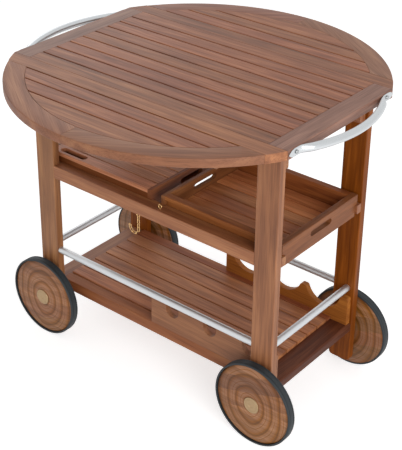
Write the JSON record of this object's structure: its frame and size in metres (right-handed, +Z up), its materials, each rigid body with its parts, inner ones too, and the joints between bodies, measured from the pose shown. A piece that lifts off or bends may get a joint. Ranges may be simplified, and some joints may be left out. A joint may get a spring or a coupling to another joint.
{
  "type": "outdoor bar cart",
  "caption": "Wooden outdoor bar cart with a round drop-leaf slatted top, tube handles, sliding trays, guard rails, a shelf with bottle boards and large wooden wheels.",
  "frame": {"origin": "on the floor under the centre of the top", "axes": "+X from the slatted tray's end to the open tray's end, -Y is the front, +Z up"},
  "size_m": [0.9818, 0.97, 0.84],
  "materials": {
    "top_wood": "oiled hardwood, satin",
    "border_wood": "oiled hardwood, satin",
    "frame_wood": "oiled hardwood, satin",
    "under_wood": "oiled hardwood, satin",
    "shelf_wood": "oiled hardwood, satin",
    "tray_wood": "oiled hardwood, satin",
    "board_wood": "oiled hardwood, satin",
    "wheel_wood": "oiled hardwood, satin",
    "satin_metal": "satin metal tube",
    "plated_steel": "zinc plated steel",
    "brass": "polished brass",
    "tyre_rubber": "matt slate rubber"
  },
  "bodies": {
    "frame": {"apron_back": "under_wood", "apron_front": "under_wood", "arm_brackets": "plated_steel", "axles": "plated_steel", "bottle_board_back": "board_wood", "bottle_board_front": "board_wood", "guard_bars": "satin_metal", "handle_left": "satin_metal", "handle_right": "satin_metal", "handle_screws": "plated_steel", "hinge_plates": "plated_steel", "leg_back_left": "frame_wood", "leg_back_right": "frame_wood", "leg_front_left": "frame_wood", "leg_front_right": "frame_wood", "mid_rail_back": "frame_wood", "mid_rail_front": "frame_wood", "screw_eyes": "brass", "shelf_end_left": "shelf_wood", "shelf_end_right": "shelf_wood", "shelf_side_rails": "shelf_wood", "shelf_slats": "shelf_wood", "top_battens": "under_wood", "top_end_rail_left": "border_wood", "top_end_rail_right": "border_wood", "top_slats": "top_wood", "tray_runners": "frame_wood"},
    "front_leaf": {"front_leaf_rail": "border_wood", "front_leaf_slats": "top_wood", "front_leaf_border": "border_wood", "front_leaf_battens": "under_wood", "front_leaf_hinges": "plated_steel"},
    "front_supports": {"front_leaf_arms": "plated_steel"},
    "wheel_front_left": {"wheel_disc_front_left": "wheel_wood", "tyre_front_left": "tyre_rubber", "hub_cap_front_left": "brass"},
    "wheel_front_right": {"wheel_disc_front_right": "wheel_wood", "tyre_front_right": "tyre_rubber", "hub_cap_front_right": "brass"},
    "back_leaf": {"back_leaf_rail": "border_wood", "back_leaf_slats": "top_wood", "back_leaf_border": "border_wood", "back_leaf_battens": "under_wood", "back_leaf_hinges": "plated_steel"},
    "back_supports": {"back_leaf_arms": "plated_steel"},
    "wheel_back_left": {"wheel_disc_back_left": "wheel_wood", "tyre_back_left": "tyre_rubber", "hub_cap_back_left": "brass"},
    "wheel_back_right": {"wheel_disc_back_right": "wheel_wood", "tyre_back_right": "tyre_rubber", "hub_cap_back_right": "brass"},
    "right_tray": {"right_tray_end_inner": "tray_wood", "right_tray_end_outer": "tray_wood", "right_tray_walls": "tray_wood", "right_tray_floor": "tray_wood"},
    "left_tray": {"left_tray_end_inner": "tray_wood", "left_tray_end_outer": "tray_wood", "left_tray_walls": "tray_wood", "left_tray_deck": "tray_wood"},
    "hanging_chain": {"chain": "brass"}
  },
  "joints": [
    {"name": "front_leaf_fold", "type": "hinge", "parent": "frame", "child": "front_leaf", "pos_m": [0, -0.21825, 0.814], "axis": [1, 0, 0], "range_deg": [0, 90]},
    {"name": "front_supports_swing", "type": "hinge", "parent": "frame", "child": "front_supports", "pos_m": [0, -0.2, 0.77], "axis": [1, 0, 0], "range_deg": [0, 112]},
    {"name": "back_leaf_fold", "type": "hinge", "parent": "frame", "child": "back_leaf", "pos_m": [0, 0.21825, 0.814], "axis": [-1, 0, 0], "range_deg": [0, 90]},
    {"name": "back_supports_swing", "type": "hinge", "parent": "frame", "child": "back_supports", "pos_m": [0, 0.2, 0.77], "axis": [-1, 0, 0], "range_deg": [0, 112]},
    {"name": "wheel_front_left_roll", "type": "hinge", "parent": "frame", "child": "wheel_front_left", "pos_m": [-0.369, -0.2175, 0.1155], "axis": [0, 1, 0], "continuous": true},
    {"name": "wheel_front_right_roll", "type": "hinge", "parent": "frame", "child": "wheel_front_right", "pos_m": [0.369, -0.2175, 0.1155], "axis": [0, 1, 0], "continuous": true},
    {"name": "wheel_back_left_roll", "type": "hinge", "parent": "frame", "child": "wheel_back_left", "pos_m": [-0.369, 0.2175, 0.1155], "axis": [0, 1, 0], "continuous": true},
    {"name": "wheel_back_right_roll", "type": "hinge", "parent": "frame", "child": "wheel_back_right", "pos_m": [0.369, 0.2175, 0.1155], "axis": [0, 1, 0], "continuous": true},
    {"name": "right_tray_slide", "type": "slide", "parent": "frame", "child": "right_tray", "axis": [1, 0, 0], "range_m": [0, 0.25]},
    {"name": "left_tray_slide", "type": "slide", "parent": "frame", "child": "left_tray", "axis": [-1, 0, 0], "range_m": [0, 0.25]},
    {"name": "chain_swing", "type": "hinge", "parent": "frame", "child": "hanging_chain", "pos_m": [-0.042, -0.18325, 0.486], "axis": [0, 1, 0], "range_deg": [-40, 40]}
  ],
  "couplings": [
    {"joint": "front_supports_swing", "follows": "front_leaf_fold", "ratio": 1.24},
    {"joint": "back_supports_swing", "follows": "back_leaf_fold", "ratio": 1.24}
  ]
}
